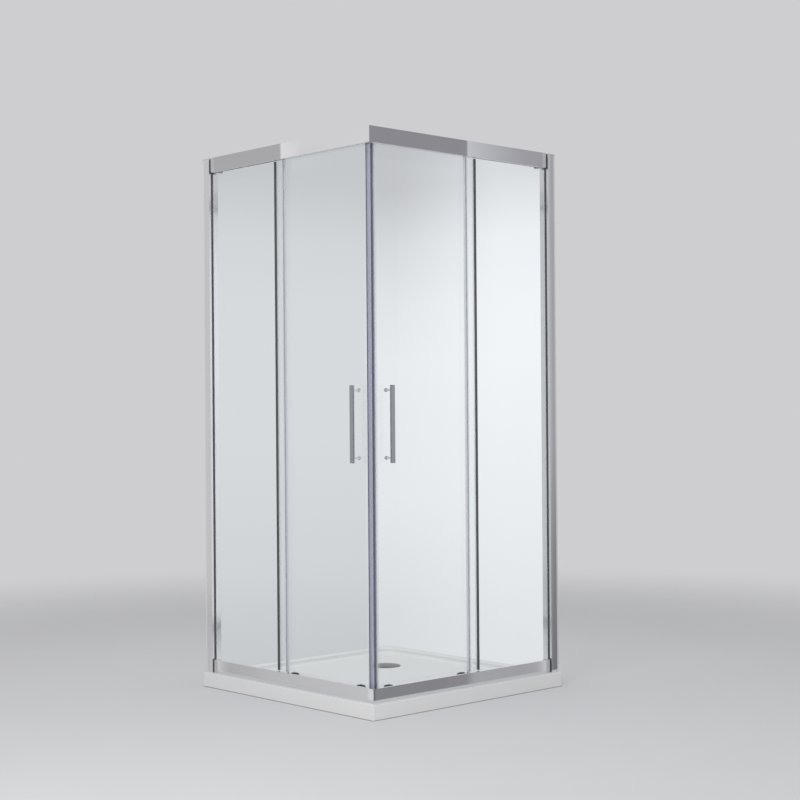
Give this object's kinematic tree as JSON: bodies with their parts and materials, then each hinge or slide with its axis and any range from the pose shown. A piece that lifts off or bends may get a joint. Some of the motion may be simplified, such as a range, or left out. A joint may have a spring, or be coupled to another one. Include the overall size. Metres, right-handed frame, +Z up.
{
  "type": "shower enclosure",
  "caption": "Square corner-entry shower enclosure: clear sliding glass doors meeting at the corner, fixed panes, slim polished frame, bar handles and a low white tray.",
  "frame": {"origin": "centre of the tray's square outline, on the floor", "axes": "+Z up; the walls of the room are the planes x = -0.45 and y = +0.45; the doors meet at the corner that points to +X and -Y"},
  "size_m": [0.9, 0.9, 1.88],
  "materials": {
    "tray_acrylic": "glossy white, vacuum-formed",
    "white_plastic": "smooth moulded",
    "black_rubber": "matt extruded",
    "chrome": "polished",
    "satin_aluminium": "satin mill finish",
    "bright_aluminium": "bright polished and anodised",
    "grey_plastic": "silver-grey moulded",
    "clear_vinyl": "translucent extruded",
    "clear_glass": "clear toughened",
    "steel": "stamped stainless",
    "magnet_rubber": "magnetic strip",
    "black_plastic": "moulded",
    "white_nylon": "moulded nylon"
  },
  "bodies": {
    "frame": {"front_bottom_rail": "bright_aluminium", "front_fixed_glass": "clear_glass", "front_fixed_seal": "clear_vinyl", "front_glazing_strips": "clear_vinyl", "front_header": "bright_aluminium", "front_header_end": "grey_plastic", "front_post_gasket": "black_rubber", "front_rail_end": "grey_plastic", "front_wall_channel": "satin_aluminium", "front_wall_post": "bright_aluminium", "header_corner_cleat": "white_plastic", "post_caps": "grey_plastic", "post_screws": "steel", "rail_corner_cleat": "white_plastic", "shower_tray": "tray_acrylic", "side_bottom_rail": "bright_aluminium", "side_fixed_glass": "clear_glass", "side_fixed_seal": "clear_vinyl", "side_glazing_strips": "clear_vinyl", "side_header": "bright_aluminium", "side_header_end": "grey_plastic", "side_post_gasket": "black_rubber", "side_rail_end": "grey_plastic", "side_wall_channel": "satin_aluminium", "side_wall_post": "bright_aluminium", "track_stops": "black_rubber", "waste_flange": "white_plastic", "waste_nut": "white_plastic", "waste_seals": "black_rubber"},
    "front_door": {"front_door_bolts": "steel", "front_door_glass": "clear_glass", "front_door_guides": "black_plastic", "front_door_hangers": "steel", "front_handle_bar": "chrome", "front_handle_caps": "chrome", "front_handle_posts": "chrome", "front_magnet_profile": "clear_vinyl", "front_magnet_strip": "magnet_rubber", "front_rear_seal": "clear_vinyl"},
    "side_door": {"side_door_bolts": "steel", "side_door_glass": "clear_glass", "side_door_guides": "black_plastic", "side_door_hangers": "steel", "side_handle_bar": "chrome", "side_handle_caps": "chrome", "side_handle_posts": "chrome", "side_magnet_profile": "clear_vinyl", "side_magnet_strip": "magnet_rubber", "side_rear_seal": "clear_vinyl"},
    "waste_cover": {"waste_cover": "chrome"},
    "front_guide_wheel_lead": {"front_guide_wheel_lead": "white_nylon"},
    "front_guide_wheel_trail": {"front_guide_wheel_trail": "white_nylon"},
    "front_top_wheel_lead": {"front_top_wheel_lead": "white_nylon"},
    "front_top_wheel_trail": {"front_top_wheel_trail": "white_nylon"},
    "side_guide_wheel_lead": {"side_guide_wheel_lead": "white_nylon"},
    "side_guide_wheel_trail": {"side_guide_wheel_trail": "white_nylon"},
    "side_top_wheel_lead": {"side_top_wheel_lead": "white_nylon"},
    "side_top_wheel_trail": {"side_top_wheel_trail": "white_nylon"}
  },
  "joints": [
    {"name": "front_door_slide", "type": "slide", "parent": "frame", "child": "front_door", "axis": [-1, 0, 0], "range_m": [0, 0.31]},
    {"name": "side_door_slide", "type": "slide", "parent": "frame", "child": "side_door", "axis": [0, 1, 0], "range_m": [0, 0.31]},
    {"name": "waste_cover_lift", "type": "slide", "parent": "frame", "child": "waste_cover", "axis": [0, 0, 1], "range_m": [0, 0.06]},
    {"name": "front_guide_wheel_lead_spin", "type": "hinge", "parent": "front_door", "child": "front_guide_wheel_lead", "pos_m": [0.342, -0.402, 0.0673], "axis": [0, -1, 0], "continuous": true},
    {"name": "front_guide_wheel_trail_spin", "type": "hinge", "parent": "front_door", "child": "front_guide_wheel_trail", "pos_m": [0.008, -0.402, 0.0673], "axis": [0, -1, 0], "continuous": true},
    {"name": "front_top_wheel_lead_spin", "type": "hinge", "parent": "front_door", "child": "front_top_wheel_lead", "pos_m": [0.342, -0.3996, 1.8593], "axis": [0, -1, 0], "continuous": true},
    {"name": "front_top_wheel_trail_spin", "type": "hinge", "parent": "front_door", "child": "front_top_wheel_trail", "pos_m": [0.008, -0.3996, 1.8593], "axis": [0, -1, 0], "continuous": true},
    {"name": "side_guide_wheel_lead_spin", "type": "hinge", "parent": "side_door", "child": "side_guide_wheel_lead", "pos_m": [0.402, -0.342, 0.0673], "axis": [-1, 0, 0], "continuous": true},
    {"name": "side_guide_wheel_trail_spin", "type": "hinge", "parent": "side_door", "child": "side_guide_wheel_trail", "pos_m": [0.402, -0.008, 0.0673], "axis": [-1, 0, 0], "continuous": true},
    {"name": "side_top_wheel_lead_spin", "type": "hinge", "parent": "side_door", "child": "side_top_wheel_lead", "pos_m": [0.3996, -0.342, 1.8593], "axis": [-1, 0, 0], "continuous": true},
    {"name": "side_top_wheel_trail_spin", "type": "hinge", "parent": "side_door", "child": "side_top_wheel_trail", "pos_m": [0.3996, -0.008, 1.8593], "axis": [-1, 0, 0], "continuous": true}
  ],
  "couplings": [
    {"joint": "front_guide_wheel_lead_spin", "follows": "front_door_slide", "rad_per_m": 111.11},
    {"joint": "front_guide_wheel_trail_spin", "follows": "front_door_slide", "rad_per_m": 111.11},
    {"joint": "front_top_wheel_lead_spin", "follows": "front_door_slide", "rad_per_m": 90.909},
    {"joint": "front_top_wheel_trail_spin", "follows": "front_door_slide", "rad_per_m": 90.909},
    {"joint": "side_guide_wheel_lead_spin", "follows": "side_door_slide", "rad_per_m": 111.11},
    {"joint": "side_guide_wheel_trail_spin", "follows": "side_door_slide", "rad_per_m": 111.11},
    {"joint": "side_top_wheel_lead_spin", "follows": "side_door_slide", "rad_per_m": 90.909},
    {"joint": "side_top_wheel_trail_spin", "follows": "side_door_slide", "rad_per_m": 90.909}
  ]
}
